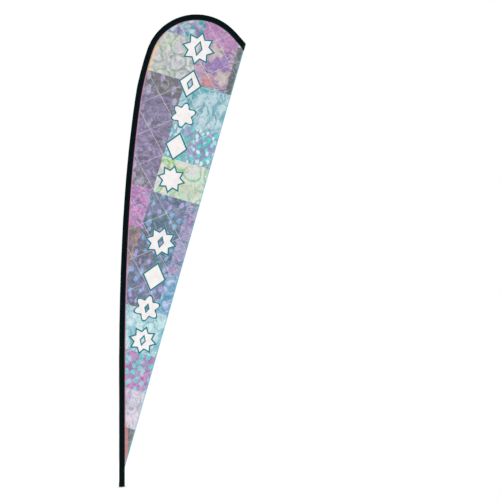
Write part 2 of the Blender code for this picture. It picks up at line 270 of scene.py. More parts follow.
def between(g, value, low, high):  # 1 inside the range
    return g.maths("COMPARE", value, (low + high) / 2, (high - low) / 2)


def weave(g, across, along, pitch):  # height of a plain weave, from 0 to 1
    warp = g.maths("SINE", across * (math.pi / pitch))
    weft = g.maths("SINE", along * (math.pi / pitch))
    return g.maths("ABSOLUTE", warp * weft)


# the print: quilt patches in the trailing edge's own directions
# t grows down the trailing edge from the origin, and w grows from that edge towards the sleeve

quilt = {
    "origin": trailTop - 0.014 * trailUp,
    "paleLine": paint("e6dcea"),
    "lineWidth": 0.0030,
    "lines": ((0.97, 0.85, 0.22), (-1.25, -0.40, 0.28)),  # slope, start and spacing of each set
    "yellowAt": 0.23,  # t of the yellow patch of dye beside the sleeve
    "edging": 0.018,  # width of the coloured line beside the sleeve
    "tipEdging": 0.014,  # and how much wider it is at the sail's foot
    "pink": paint("d58fb4"),
    "salmon": paint("cf8f93"),
    "yellow": paint("f0d79a"),
    "cyan": paint("5fc4d2"),
    "motifWhite": paint("fffbfb"),
    "motifTeal": paint("17818d"),
    "motifGlow": paint("d9eef0"),
    "motifShade": paint("fbf3f3"),
    "blotch": paint("8f97aa"),
    "bloom": paint("cfd9e0"),
    "grain": paint("98a0b0"),
    "fleck": paint("d4dce4"),
    # painted shade for the gaps between the weave's threads
    "paintedWeaveShade": paint("8c9098"),
    "outline": 0.0088,
    "weavePitch": 0.0009,
}

patches = [  # w from, to, t from, to, pattern, its colours and its sizes
    (0.00, 0.60, -0.40, 0.05, "pebbles", "a4bcc9 36a0a4 927fb5 c7dde2", {"scale": 27, "size": 0.48}),
    (0.27, 0.60, 0.045, 0.31, "circles", "c7cbc8 e0dede 9fc491 96aca2 d3cada", {"scale": 8.2, "size": 0.40}),
    (0.04, 0.27, -0.40, 0.31, "floral", "aa8faf ceb1c5 7e7795 9372bf dbd1c1 d7897e bf82bf", {"scale": 9}),
    (-0.1, 0.04, 0.02, 0.32, "cloudy", "747b79 66746e 808688 706d78", {"scale": 22}),
    (0.30, 0.60, 0.31, 1.02, "leaves", "867f9c 787186 9a8cb0 bab4d2 77776e", {"scale": 8}),
    (-0.1, 0.30, 0.32, 0.58, "veins", "95c6d1 c1dee7 7cb9c4 4ca3ad cfe7ee", {"scale": 9}),
    (-0.1, 0.30, 0.58, 0.80, "chips", "84b7bb c9fafa 43ede2 9aa4c9 eefafa", {"scale": 36}),
    (-0.1, 0.305, 0.80, 1.04, "circles", "d4edd7 eee6da 97cc65 90c79d e6e3ee", {"scale": 7.6, "size": 0.38}),
    (0.305, 0.60, 1.02, 1.27, "fringe", "a98bb9 87729f c3a7d3 e183c3", {"scale": 10, "bars": 0.6}),
    (0.31, 0.60, 1.27, 1.52, "cloudy", "928381 7d797f ba908a 948a94", {"scale": 12}),
    (0.00, 0.31, 1.03, 1.76, "drops", "70889f 868aa9 bca9e6 8fbae0 687e8b", {"scale": 19, "size": 0.28}),
    (0.19, 0.31, 1.27, 1.76, "drops", "78839b 8583aa b9acf0 8cbcea 777784", {"scale": 19, "size": 0.28}),
    (-0.1, 0.075, 1.05, 1.50, "fringe", "8b9ebb 708aa7 afaed4 cc97c6", {"scale": 15, "bars": 0.2}),
    (-0.1, 0.075, 1.50, 1.76, "cloudy", "90b6d4 67a8c9 bbdaf2 9da4d4", {"scale": 17}),
    (-0.1, 0.40, 1.75, 2.02, "veins", "c8ecf4 a0d2dd b4e2e6 69b6c1 eafafa", {"scale": 10}),
    (-0.1, 0.40, 2.02, 2.25, "pebbles", "a894be 73dbde c684c2 b0d2e0", {"scale": 27, "size": 0.46}),
    (-0.1, 0.40, 2.25, 2.49, "petals", "d8d5e4 e9dbe6 babacc a9b4c2", {"scale": 9}),
    (0.085, 0.40, 2.25, 2.325, "cloudy", "ccb8de bdb1d0 e1cae7 d3cad5", {"scale": 14}),
    (-0.1, 0.40, 2.49, 2.90, "cloudy", "75797c 70787d 868389 8c848a", {"scale": 13}),
]

motifShape = {"diamond": 0.80, "notch": 0.66, "points": 8, "petals": 6, "lobe": 0.17}
motifs = [  # kind, w, t, half height, and the size of the hole in it
    ("star", 0.275, 0.095, 0.100, 0.034),
    ("diamond", 0.265, 0.320, 0.086, 0.026),
    ("flower", 0.250, 0.520, 0.078, 0.0),
    ("diamond", 0.240, 0.720, 0.084, 0.0),
    ("star", 0.215, 0.925, 0.084, 0.0),
    ("star", 0.170, 1.320, 0.094, 0.026),
    ("diamond", 0.150, 1.540, 0.088, 0.0),
    ("flower", 0.140, 1.740, 0.082, 0.020),
    ("star", 0.110, 1.940, 0.084, 0.024),
]


def ink(codes):
    return [paint(code) for code in codes.split()]


def cloudy(g, q, codes, sizes, seed):  # soft dye patches
    c = ink(codes)
    field = g.noise(g.shaped(q, shift=(seed, -seed, 0)), sizes["scale"], 3.0, 1.6, shape="2D")
    return g.ramp(field, [(0.36, c[1]), (0.47, c[0]), (0.56, c[3]), (0.66, c[2])])


def pebbles(g, q, codes, sizes, seed):
    c = ink(codes)
    place = g.shaped(q, 0.3, (1, 0.8, 1), (seed, seed, 0))
    away, tone = g.cells(place, sizes["scale"]), g.cells(place, sizes["scale"], output="Color")
    ground = g.mix(g.step(g.noise(q, 12, 3.0, 1.0, shape="2D"), 0.42, 0.58), c[0], c[2])
    blob = g.mix(g.step(g.vector("DOT_PRODUCT", tone, (0.9, 0.1, 0), output=1), 0.35, 0.75), c[1], c[3])
    return g.mix(g.step(away, sizes["size"], sizes["size"] - 0.16) * 0.9, ground, blob)


def circles(g, q, codes, sizes, seed):  # big looping rings, with ribbons between them
    c = ink(codes)
    field = g.noise(q, 14, 3.0, 1.2, shape="2D")
    bent = g.vector("ADD", q, g.shaped(g.noise(q, 7, 1.0, output=1, shape="2D"), 0, (0.06, 0.06, 0)))
    away = g.cells(g.shaped(bent, 0.2, (1, 0.85, 1), (seed, -seed, 0)), sizes["scale"], jitter=0.9)
    ground = g.mix(g.step(field, 0.42, 0.58), c[0], c[1])
    tint = g.mix(g.step(g.noise(q, 7, 1.0, shape="2D"), 0.45, 0.55), c[2], c[3])
    size = sizes["size"]
    ring = g.step(g.maths("ABSOLUTE", away - size + (field - 0.5) * 0.2), 0.075, 0.02)
    echo = g.step(g.maths("ABSOLUTE", away - 0.78 * size), 0.03, 0.01) * g.step(field, 0.48, 0.56)
    ribbon = g.step(g.maths("ABSOLUTE", g.noise(bent, 9, 1.0, 0.8, shape="2D") - 0.47), 0.022, 0.006)
    dyed = g.mix(g.step(away, size + 0.12, size + 0.36) * 0.32, ground, tint)
    heart = g.mix(g.step(away, 0.75 * size, 0.2) * 0.4, dyed, c[4])
    drawn = g.maths("MAXIMUM", ribbon * 0.65, echo * 0.5)
    return g.mix(g.maths("MAXIMUM", ring * 0.85, drawn), heart, tint)


blossoms = [  # w, t, size, which colour, petals
    (0.125, 0.155, 0.085, 3, 5),
    (0.175, 0.075, 0.075, 4, 6),
    (0.165, 0.285, 0.050, 5, 5),
    (0.085, 0.235, 0.055, 4, 5),
    (0.215, -0.02, 0.100, 6, 8),
    (0.100, 0.010, 0.070, 6, 5),
]


def floral(g, q, codes, sizes, seed):
    c = ink(codes)
    shape = g.shaped(q, 0.9, (1, 1.25, 1), (0.3, 0.1, 0))
    field = g.noise(shape, sizes["scale"], 4.0, 2.4, shape="2D")
    colour = g.ramp(field, [(0.34, c[2]), (0.45, c[0]), (0.54, c[1]), (0.66, c[0])])
    for w, t, size, tint, petals in blossoms:
        away = g.vector("SUBTRACT", q, (w, t, 0))
        parts = g.node("SeparateXYZ", {}, {0: away})
        dw, dt = Wire(g, parts.outputs[0]), Wire(g, parts.outputs[1])
        turn = g.maths("ARCTAN2", dw, dt)
        far = g.vector("LENGTH", away, output=1)
        rim = (g.maths("COSINE", turn * petals) * 0.22 + 0.78) * size
        inside = g.step(far - rim + (field - 0.5) * 0.06, 0.012, -0.008)
        streak = g.maths("SINE", turn * (petals * 4)) * 0.5 + 0.5
        petal = g.mix(streak * 0.45, c[tint], c[1])
        colour = g.mix(inside * 0.85, colour, petal)
        colour = g.mix(g.step(g.maths("ABSOLUTE", far - rim), 0.004, 0.001) * 0.35, colour, c[2])
    return colour


def leaves(g, q, codes, sizes, seed):  # dark ground with ghosted leaves
    c = ink(codes)
    field = g.noise(g.shaped(q, 0.7, (1, 2.2, 1)), sizes["scale"], 4.0, 1.2, shape="2D")
    ground = g.ramp(field, [(0.36, c[1]), (0.5, c[0]), (0.62, c[2])])
    olive = g.noise(q, 4.5, 2.0, 0.6, shape="2D")
    ground = g.mix(g.step(olive, 0.5, 0.6) * 0.7, ground, c[4])
    place = g.shaped(q, 0.8, (1.0, 0.5, 1), (seed, 0, 0))
    away = g.cells(place, 22)
    pick = g.vector("DOT_PRODUCT", g.cells(place, 22, output="Color"), (1, 0, 0), output=1)
    leaf = g.step(away, 0.34, 0.24) * g.step(pick, 0.5, 0.55) * g.step(olive, 0.44, 0.52)
    spine = g.step(g.maths("ABSOLUTE", away - 0.12), 0.03, 0.01)
    ground = g.mix(leaf * (0.85 - spine * 0.5), ground, c[3])
    scratch = g.noise(g.shaped(q, -0.55, (1, 9, 1)), 26, 2.0, shape="2D")
    return g.mix(g.step(scratch, 0.56, 0.68) * 0.45, ground, c[3])


def veins(g, q, codes, sizes, seed):
    c = ink(codes)
    warp = g.shaped(g.noise(q, 8, 2.0, output=1, shape="2D"), 0, (0.11, 0.11, 0))
    bent = g.vector("ADD", g.shaped(q, shift=(seed, seed, 0)), warp)
    field = g.noise(bent, sizes["scale"] * 0.8, 3.0, 1.2, shape="2D")
    ground = g.ramp(field, [(0.36, c[2]), (0.46, c[0]), (0.56, c[1])])
    away = g.cells(g.shaped(bent, 0.5, (1, 0.55, 1)), sizes["scale"] * 0.9)
    loop = g.step(g.maths("ABSOLUTE", away - 0.42 + (field - 0.5) * 0.2), 0.045, 0.015)
    ground = g.mix(g.step(away, 0.45, 0.2) * 0.35, ground, c[4])
    stroke = g.noise(g.shaped(bent, 0.75, (3.4, 0.8, 1)), sizes["scale"], 2.0, 0.4, shape="2D")
    ground = g.mix(g.step(stroke, 0.55, 0.62) * 0.7, ground, c[3])
    ground = g.mix(g.step(stroke, 0.42, 0.36) * 0.6, ground, c[4])
    return g.mix(loop * 0.55, ground, c[3])


def chips(g, q, codes, sizes, seed):
    c = ink(codes)
    bent = g.vector("ADD", q, g.shaped(g.noise(q, 26, 1.0, output=1, shape="2D"), 0, (0.02, 0.02, 0)))
    place = g.shaped(bent, 0.4, (1, 0.7, 1), (seed, 0, 0))
    away = g.cells(place, sizes["scale"])
    tone = g.vector("DOT_PRODUCT", g.cells(place, sizes["scale"], output="Color"), (0.6, 0.4, 0), output=1)
    ground = g.mix(g.step(g.noise(q, 8, 3.0, 1.4, shape="2D"), 0.45, 0.56), c[0], c[3])
    chip = g.ramp(tone, [(0.3, c[2]), (0.45, c[4]), (0.58, c[1]), (0.75, c[2])])
    where = g.step(g.noise(q, 9, 2.0, 0.5, shape="2D"), 0.36, 0.5)
    return g.mix(g.step(away, 0.42, 0.3) * (where * 0.8 + 0.15), ground, chip)


def fringe(g, q, codes, sizes, seed):  # streaks across, like a dyed fringe
    c = ink(codes)
    field = g.noise(g.shaped(q, 0.15, (0.9, 1.9, 1), (seed, 0, 0)), sizes["scale"], 3.0, 2.2, shape="2D")
    ground = g.ramp(field, [(0.36, c[1]), (0.46, c[0]), (0.55, c[2]), (0.63, c[3])])
    bar = g.noise(g.shaped(q, 0.1, (0.9, 4, 1), (0, seed, 0)), 11, 1.0, 0.8, shape="2D")
    ground = g.mix(g.step(bar, 0.56, 0.62) * sizes["bars"], ground, c[3])
    swirl = g.noise(g.shaped(q, shift=(0, seed, 0)), 24, 1.0, 1.0, shape="2D")
    curl = g.step(g.maths("ABSOLUTE", swirl - 0.5), 0.035, 0.012)
    return g.mix(curl * 0.5, ground, c[2])


def drops(g, q, codes, sizes, seed):
    c = ink(codes)
    field = g.noise(q, 7, 3.0, 1.2, shape="2D")
    ground = g.ramp(field, [(0.4, c[4]), (0.5, c[0]), (0.62, c[1])])
    bent = g.vector("ADD", q, g.shaped(g.noise(q, 22, 1.0, output=1, shape="2D"), 0, (0.022, 0.022, 0)))
    place = g.shaped(bent, 0.35, (1.1, 0.75, 1), (seed, seed, 0))
    away = g.cells(place, sizes["scale"], jitter=0.9)
    mark = g.cells(place, sizes["scale"], output="Color", jitter=0.9)
    pick = g.vector("DOT_PRODUCT", mark, (1, 0, 0), output=1)
    size = g.vector("DOT_PRODUCT", mark, (0, 0.10, 0), output=1) + (sizes["size"] - 0.05)
    drop = g.mix(g.step(pick, 0.56, 0.64), c[2], c[3])
    core = g.mix(g.step(away - size * 0.3, 0.03, -0.06) * 0.55, drop, paint("dcd6f6"))
    return g.mix(g.step(away - size, 0.02, -0.06) * 0.85, ground, core)


def petals(g, q, codes, sizes, seed):
    c = ink(codes)
    bent = g.vector("ADD", q, g.shaped(g.noise(q, 8, 2.0, output=1, shape="2D"), 0, (0.12, 0.12, 0)))
    field = g.noise(bent, sizes["scale"], 3.0, 1.5, shape="2D")
    ground = g.ramp(field, [(0.36, c[2]), (0.46, c[0]), (0.6, c[1])])
    rib = g.cells(g.shaped(bent, 0.9, (1, 0.55, 1), (seed, 0, 0)), 17, "DISTANCE_TO_EDGE")
    return g.mix(g.step(rib, 0.08, 0.02) * 0.6, ground, c[3])


patterns = {
    "cloudy": cloudy,
    "pebbles": pebbles,
    "circles": circles,
    "floral": floral,
    "leaves": leaves,
    "veins": veins,
    "chips": chips,
    "fringe": fringe,
    "drops": drops,
    "petals": petals,
}


def motifDistance(g, w, t, kind, w0, t0, size, hole):  # below 0 inside the motif
    dw, dt = w - w0, t - t0
    if kind == "diamond":
        far = g.maths("ABSOLUTE", dw) * (1 / motifShape["diamond"]) + g.maths("ABSOLUTE", dt)
        away = (far - size) * 0.62
    else:
        far = g.maths("SQRT", dw * dw + dt * dt)
        turn = g.maths("ARCTAN2", dw, dt)
        if kind == "star":
            half = math.pi / motifShape["points"]
            folded = g.maths("PINGPONG", turn + 8 * math.pi, half)  # 0 at each of the star's points
            x, y = far * g.maths("COSINE", folded), far * g.maths("SINE", folded)
            inner = motifShape["notch"] * size
            run = Vector((inner * math.cos(half) - size, inner * math.sin(half))).normalized()
            away = (x - size) * run.y - y * run.x
        else:
            lobe = motifShape["lobe"]
            rim = g.maths("COSINE", turn * motifShape["petals"]) * lobe + (1 - lobe)
            away = (far - rim * size) * 0.85
    if hole:
        gap = (g.maths("ABSOLUTE", dw) * 1.5 + g.maths("ABSOLUTE", dt) * 0.8 - hole) * 0.7
        away = g.maths("MAXIMUM", away, 0 - gap)
    return away


def makePrint():
    g = Graph("print_cloth", Roughness=0.82, Specular_IOR_Level=0.18, Sheen_Weight=0.06)
    place = g.where()
    ox, oz = (float(v) for v in quilt["origin"])
    ux, uz = (float(v) for v in trailUp)
    fromOrigin = g.vector("SUBTRACT", place, (ox, 0, oz))
    t = g.vector("DOT_PRODUCT", fromOrigin, (-ux, 0, -uz), output=1)
    w = g.vector("DOT_PRODUCT", fromOrigin, (-uz, 0, ux), output=1)
    q = g.wire("CombineXYZ", {}, {0: w, 1: t})
    colour = None
    for number, (w0, w1, t0, t1, pattern, codes, sizes) in enumerate(patches):
        patch = patterns[pattern](g, q, codes, sizes, 0.37 * number)
        if colour is None:
            colour = patch
            continue
        colour = g.mix(between(g, w, w0, w1) * between(g, t, t0, t1), colour, patch)
    print("patches drawn")
    blotch = g.noise(q, 24, 4.0, 1.4, shape="2D")
    grain = g.noise(g.shaped(q, 0.5), 120, 2.0, 0.4, shape="2D")
    colour = g.shade(g.step(blotch, 0.47, 0.68) * 0.30, colour, quilt["blotch"])
    colour = g.shade(g.step(blotch, 0.5, 0.32) * 0.20, colour, quilt["bloom"], "SCREEN")
    colour = g.shade(g.step(grain, 0.52, 0.7) * 0.12, colour, quilt["grain"])
    colour = g.shade(g.step(grain, 0.46, 0.3) * 0.07, colour, quilt["fleck"], "SCREEN")
    width = quilt["lineWidth"]
    fade = g.step(g.noise(q, 9, 2.0, shape="2D"), 0.35, 0.6) * 0.35 + 0.35
    for slope, first, spacing in quilt["lines"]:
        near = g.maths("PINGPONG", w + t * slope + (20 * spacing - first), spacing / 2)
        colour = g.mix(g.step(near, width * 1.3, width * 0.4) * fade, colour, quilt["paleLine"])
    motif = None
    for row in motifs:
        away = motifDistance(g, w, t, *row)
        motif = away if motif is None else g.maths("MINIMUM", motif, away)
    outline = quilt["outline"]
    colour = g.mix(g.step(motif, 0.010, 0.002) * 0.35, colour, quilt["motifGlow"])
    colour = g.mix(g.step(motif, outline * 0.62, outline * 0.42), colour, quilt["motifTeal"])
    tone = g.step(g.noise(q, 25, 2.0, shape="2D"), 0.4, 0.6)
    cream = g.mix(tone, quilt["motifWhite"], quilt["motifShade"])
    colour = g.mix(g.step(motif, -outline * 0.42, -outline * 0.62), colour, cream)
    seam = g.wire("SeparateXYZ", {}, {0: g.cloth()})
    glow = g.step(g.maths("ABSOLUTE", t - quilt["yellowAt"]), 0.14, 0.04) * g.step(w, 0.40, 0.44)
    colour = g.mix(g.step(seam, 0.046, 0.014) * glow * 0.75, colour, quilt["yellow"])
    edging = g.mix(g.step(t, 1.7, 2.4), quilt["pink"], quilt["salmon"])
    reach = g.step(t, 2.46, 2.5) * quilt["tipEdging"] + quilt["edging"]
    colour = g.mix(g.step(seam - reach, 0.0, -0.006) * 0.75, colour, edging)
    colour = g.mix(g.step(w, 0.009, 0.001) * 0.7, colour, quilt["cyan"])
    threads = weave(g, w, t, quilt["weavePitch"])
    # painted shade: the colour is darkened in the gaps between the threads, where the weave's shade falls
    colour = g.shade((1 - threads) * 0.09, colour, quilt["paintedWeaveShade"])
    g.to("Base Color", colour)
    g.to("Roughness", threads * 0.06 + 0.78)
    g.bump(threads + g.noise(q, 900, 1.0, shape="2D") * 0.5, 0.25, 0.00012)
    return g.material


# other finishes


def makeCloth(name, base, light, pitch, roughness=0.86, shine=0.12, twill=False):
    g = Graph(name, Specular_IOR_Level=shine)
    parts = g.node("SeparateXYZ", {}, {0: g.cloth()})
    across, along = Wire(g, parts.outputs[0]), Wire(g, parts.outputs[1])
    if twill:
        ridge = g.maths("SINE", (across + along) * (math.pi / pitch)) * 0.5 + 0.5
        threads = ridge * (weave(g, across, along, pitch) * 0.5 + 0.5)
    else:
        threads = weave(g, across, along, pitch)
    place = g.where()
    worn = g.noise(place, 22, 4.0, 0.6)
    slub = g.noise(g.shaped(g.cloth(), 0, (900, 40, 1)), 1.0, 1.0, shape="2D")
    # painted light: the thread crowns are mixed towards the light colour and the gaps stay at the base
    # colour, a painted highlight and painted shade on the weave; the slubs are the yarn's own uneven tone
    colour = g.mix(threads * 0.6 + g.step(slub, 0.55, 0.75) * 0.25, paint(base), paint(light))
    colour = g.shade(g.step(worn, 0.4, 0.7) * 0.35, colour, paint("c8cccc"))
    g.to("Base Color", colour)
    g.to("Roughness", worn * 0.1 + (roughness - 0.05))
    g.bump(threads + slub * 0.4, 0.5, pitch * 0.25)
    return g.material


def makeMetal(name, base, dark, roughness, grain):
    g = Graph(name, Metallic=1.0)
    place = g.where()
    lines = g.noise(g.shaped(place, 0, grain), 60, 3.0)
    cloud = g.noise(place, 35, 3.0, 0.5)
    share = g.step(lines, 0.35, 0.7) * 0.5 + g.step(cloud, 0.5, 0.75) * 0.3
    g.to("Base Color", g.mix(share, paint(base), paint(dark)))
    g.to("Roughness", lines * 0.16 + cloud * 0.1 + (roughness - 0.12))
    g.bump(lines, 0.15, 0.0002)
    return g.material


def makeMoulded(name, base, light, roughness):
    g = Graph(name, Specular_IOR_Level=0.4)
    place = g.where()
    grain = g.noise(place, 1400, 2.0)
    flow = g.noise(place, 90, 2.0, 1.5)
    g.to("Base Color", g.mix(g.step(flow, 0.4, 0.7) * 0.6 + grain * 0.2, paint(base), paint(light)))
    g.to("Roughness", grain * 0.14 + flow * 0.08 + (roughness - 0.1))
    g.bump(grain, 0.25, 0.0001)
    return g.material


def makeFibreglass():
    g = Graph("fibreglass", Specular_IOR_Level=0.45, Coat_Weight=0.25, Coat_Roughness=0.15)
    place = g.where()
    strand = g.noise(g.shaped(place, 0, (1, 1, 0.03)), 900, 2.0)
    height = g.wire("SeparateXYZ", {}, {0: place}, 2)
    wound = g.maths("SINE", g.noise(place, 12, 1.0) * 6 + height * 900) * 0.5 + 0.5
    g.to("Base Color", g.mix(strand * 0.5 + wound * 0.25, paint("2c2d30"), paint("54565a")))
    g.to("Roughness", strand * 0.2 + 0.28)
    g.bump(strand + wound * 0.5, 0.2, 0.0001)
    return g.material


def makeThread(name, base, light):
    g = Graph(name, Specular_IOR_Level=0.3, Sheen_Weight=0.1)
    place = g.where()
    ply = g.maths("SINE", g.vector("DOT_PRODUCT", place, (1, 0.6, 1), output=1) * 9000) * 0.5 + 0.5
    fuzz = g.noise(place, 2500, 1.0)
    # painted light: the ply's ridges are mixed towards the light colour, a painted highlight on the twist;
    # the fuzz is random tone
    g.to("Base Color", g.mix(ply * 0.6 + fuzz * 0.3, paint(base), paint(light)))
    g.to("Roughness", fuzz * 0.2 + 0.5)
    g.bump(ply, 0.4, 0.00008)
    return g.material


printCloth = makePrint()
blackCloth = makeCloth("black_cloth", "000c0e", "0a1e20", 0.0011, 0.84, 0.06)
webbing = makeCloth("webbing", "0a0c0d", "1d2121", 0.0016, 0.8, 0.2, True)
linerCloth = makeCloth("liner", "77787c", "8e9094", 0.0010, 0.9, 0.1)
blackThread = makeThread("thread", "10181a", "2a3436")
paleThread = makeThread("pale_thread", "c9d6dc", "eef4f6")
print("finishes made")

# the sail

sail = {
    "rowStep": 0.0062,
    "middle": 34,  # columns between the seam's and the hem's own
    "nearSeam": (0.0, 0.003, 0.006, 0.0082, 0.0105, 0.0145, 0.021, 0.030),
    "nearHem": (0.034, 0.026, 0.019, 0.0145, 0.0128, 0.0116, 0.0098, 0.0080, 0.0062, 0.0040, 0.0016, 0.0),
    "inner": 0.00068,  # where each printed face's cloth starts and ends, from the sail's middle
    "outer": 0.00118,
    "hemRise": 0.0003,
    "hemWidth": 0.0122,
    "hemRow": 0.0080,  # the stitches, from the trailing edge
    "flat": (0.47, 2.90),
    "broad": 0.0027,  # heights of the sway's waves, and of the puckers along the seam
    "cross": 0.0013,
    "fan": 0.0016,
    "slack": 0.0012,
    "pucker": 0.00035,
}

edgeStations = np.linspace(0.0, noseAt + 0.03, 1400)
edgeLine = np.array([edgeAt(s)[:2] for s in edgeStations])


def fromLeading(x, z):  # distance in from the leading edge, and where along it
    flat = np.stack([x.ravel(), z.ravel()], axis=-1)
    far, at = np.empty(len(flat)), np.empty(len(flat))
    for start in range(0, len(flat), 4000):
        part = flat[start : start + 4000]
        gaps = ((part[:, None, :] - edgeLine[None]) ** 2).sum(axis=-1)
        best = gaps.argmin(axis=1)
        far[start : start + 4000] = np.sqrt(gaps[np.arange(len(part)), best])
        at[start : start + 4000] = edgeStations[best]
    return far.reshape(x.shape), at.reshape(x.shape)


def ripple(place, length, start):
    return np.sin(2 * np.pi * place / length + start)


def sailSway(x, z):  # how far the cloth stands off its plane, towards the front
    far, at = fromLeading(x, z)
    fromSeam = np.maximum(far - edge["chord"], 0.0)
    ox, oz = quilt["origin"]
    t = -(x - ox) * trailUp[0] - (z - oz) * trailUp[1]
    w = behind(x, z)
    fromNose = np.hypot(x - trailTop[0], z - trailTop[1])
    fromFoot = np.hypot(x - trailFoot[0], z - trailFoot[1])
    turn = np.arctan2(x - trailTop[0], z - trailTop[1])
    broad = sail["broad"] * ripple(t, 0.66, 1.1 + 2.4 * w)
    broad = broad + sail["cross"] * ripple(0.75 * t + 1.2 * w, 0.29, 0.7)
    fan = sail["fan"] * np.sin(15 * turn + 0.6) * np.exp(-fromNose / 0.32) * ease(fromNose / 0.08)
    slack = sail["slack"] * ripple(t, 0.21, 2.0) * np.exp(-w / 0.045)
    free = ease(fromSeam / 0.13) * ease(fromNose / 0.22) * ease(fromFoot / 0.45)
    puckers = sail["pucker"] * (ripple(at, 0.031, 0.0) + 0.6 * ripple(at, 0.047, 1.0))
    puckers = puckers * np.exp(-fromSeam / 0.020) * ease(fromSeam / 0.006)
    return free * (broad + slack) + ease(fromSeam / 0.06) * fan + puckers


def sailRows(first, last, step, margin=0.0, near=0.45):
    # rows from the seam to the trailing edge, which swing round to the nose over the last stretch, near
    # margin keeps the layer this far short of the trailing edge
    stations = np.linspace(first, last, int((last - first) / step) + 1)
    seam = np.array([insetAt(s, edge["tucked"]) for s in stations])
    top = seam[-1]
    down = -(seam - top) @ trailUp
    turnAt = np.argmax(down < near)
    share = (stations - stations[turnAt]) / (stations[-1] - stations[turnAt])
    down = np.where(np.arange(len(stations)) < turnAt, down, down[turnAt] * np.clip(1 - share, 0, 1) ** 1.6)
    trail = top - down[:, None] * trailUp
    trail = trail - trailIn * (behind(trail[:, 0], trail[:, 1]) - margin)[:, None]
    return stations, seam, trail


def sailGrid(stations, seam, trail, nearSeam, middle, nearHem):
    run = trail - seam
    width = np.linalg.norm(run, axis=1)
    slant = np.abs((run / width[:, None]) @ trailIn)
    fit = np.minimum(1.0, width / 0.115)[:, None]
    left = np.array(nearSeam)[None] * fit
    right = width[:, None] - np.array(nearHem)[None] * fit / np.maximum(slant, 0.55)[:, None]
    share = np.linspace(0, 1, middle + 2)[1:-1]
    centre = left[:, -1:] + (right[:, :1] - left[:, -1:]) * share[None]
    across = np.concatenate([left, centre, right], axis=1)
    places = seam[:, None, :] + (run / width[:, None])[:, None, :] * across[..., None]
    mark = np.stack([across, np.repeat(stations[:, None], across.shape[1], axis=1)], axis=-1)
    return places[..., 0], places[..., 1], mark


def layer(x, z, depth, sway):
    return np.stack([x, sway + depth, z], axis=-1)


def thinLayer(name, x, z, first, second, mark):  # a piece between two depths, which follows the sway
    sway = -sailSway(x, z)
    return shell(name, layer(x, z, first, sway), layer(x, z, second, sway), mark)


firstRow = crossing(edge["tucked"], 0.0, 0.02, 0.6) + 0.003
lastRow = noseEnd(edge["tucked"]) - 0.002
stations, seamLine, trailLine = sailRows(firstRow, lastRow, sail["rowStep"])
columns = (sail["nearSeam"], sail["middle"], sail["nearHem"])
gridX, gridZ, mark = sailGrid(stations, seamLine, trailLine, *columns)
depthIn = behind(gridX, gridZ)
ridge = ease((sail["hemWidth"] - depthIn) / 0.0012)
groove = np.exp(-(((depthIn - sail["hemRow"]) / 0.0011) ** 2))
lipRoom = ease((mark[..., 0] - 0.0085) / 0.004)  # stays thin between the sleeve's lips
outerDepth = sail["outer"] + lipRoom * sail["hemRise"] * ridge * (1 - 0.85 * groove)
innerDepth = np.full_like(outerDepth, sail["inner"])
for name, side, node in (("sail_front", -1, "front_print"), ("sail_back", 1, "back_print")):
    piece = thinLayer(name, gridX, gridZ, side * outerDepth, side * innerDepth, mark)
    finishPiece(piece, "flag", printCloth, "print_cloth", node)

hem = {
    "edge": 0.0005,
    "width": 0.0120,
    "half": 0.00030,
    "gap": 0.0008,  # from the fold to the liner
    "from": 0.004,
    "short": 0.045,
    "rows": 460,
}
short = {"foot": 0.045, "nose": 0.016, "rowStep": 0.012}  # the liner's gaps to the prints' ends
margin = hem["edge"] + hem["width"] + hem["gap"]
inside = sailRows(firstRow + short["foot"], lastRow - short["nose"], short["rowStep"], margin)
x, z, linerMark = sailGrid(*inside, (0.0, 0.008, 0.02), 24, (0.03, 0.012, 0.0))
liner = thinLayer("blockout_layer", x, z, -hem["half"], hem["half"], linerMark)
finishPiece(liner, "flag", linerCloth, "liner", "blockout_liner")

# the cloth turned in along the trailing edge, between the two prints
trailLength = float(np.linalg.norm(trailTop - trailFoot))
along = np.linspace(hem["from"], trailLength - hem["short"], hem["rows"])
depths = np.array([hem["edge"], 0.003, 0.006, 0.009, hem["edge"] + hem["width"]])
middle = trailFoot[None] + along[:, None] * trailUp
places = middle[:, None, :] + depths[None, :, None] * trailIn
foldMark = np.stack(np.broadcast_arrays(depths[None], along[:, None]), axis=-1)
hemFold = thinLayer("trailing_turn_in", places[..., 0], places[..., 1], -hem["half"], hem["half"], foldMark)
finishPiece(hemFold, "flag", printCloth, "print_cloth", "trailing_hem_fold")
print("sail made,", len(stations), "rows")

# the sleeve

sleeve = {
    "wall": 0.0010,
    "lift": 0.002,
    "lip": 0.0015,  # half the gap between the lips
    "mouths": (0.80, 1.66, 2.52),  # where the pole's collars end
    "collars": (0.0109, 0.0091, 0.0071, 0.00525),  # the loop's inner radius at each, and at the nose
    "tubes": (0.0095, 0.0077, 0.0057, 0.0039),
    "collarLength": 0.022,
    "hug": 0.0008,  # the most that the cloth closes in between collars
    "hugOver": 0.035,  # the length over which it does so
    "clear": 0.0007,  # the least gap it leaves to the tube
    "liftRoom": 0.130,  # stays open this far below the lowest collar, which the sleeve slides over
    "lipShares": (0.0, 0.04, 0.25, 0.45, 0.65, 0.85, 1.0),  # where the points across lip and side stand
    "sideShares": (0.25, 0.5, 0.75),
    "sag": 0.0004,
    "round": 24,
    "rowStep": 0.0068,
    "collarRows": (-0.024, -0.021, -0.001, 0.002, 0.010, 0.013),  # extra rows at each collar
    "creases": ((1.0, 0.0205, 0.0), (0.7, 0.0327, 1.3), (0.5, 0.013, 0.4)),  # height, length, start
    "crease": 0.00011,  # height of the lips' creases, and what the crown's bend adds to it
    "bent": 0.00016,
    "crown": 2.55,  # where that bend starts, along the leading edge
    "loose": 0.00012,  # height of the loop's slow waves
}


def loopRadius(s):
    marks = [*sleeve["mouths"], noseAt]
    return float(np.interp(s, marks, sleeve["collars"]))


def tubeRadius(s):
    return sleeve["tubes"][int(np.searchsorted(sleeve["mouths"], s, side="right"))]


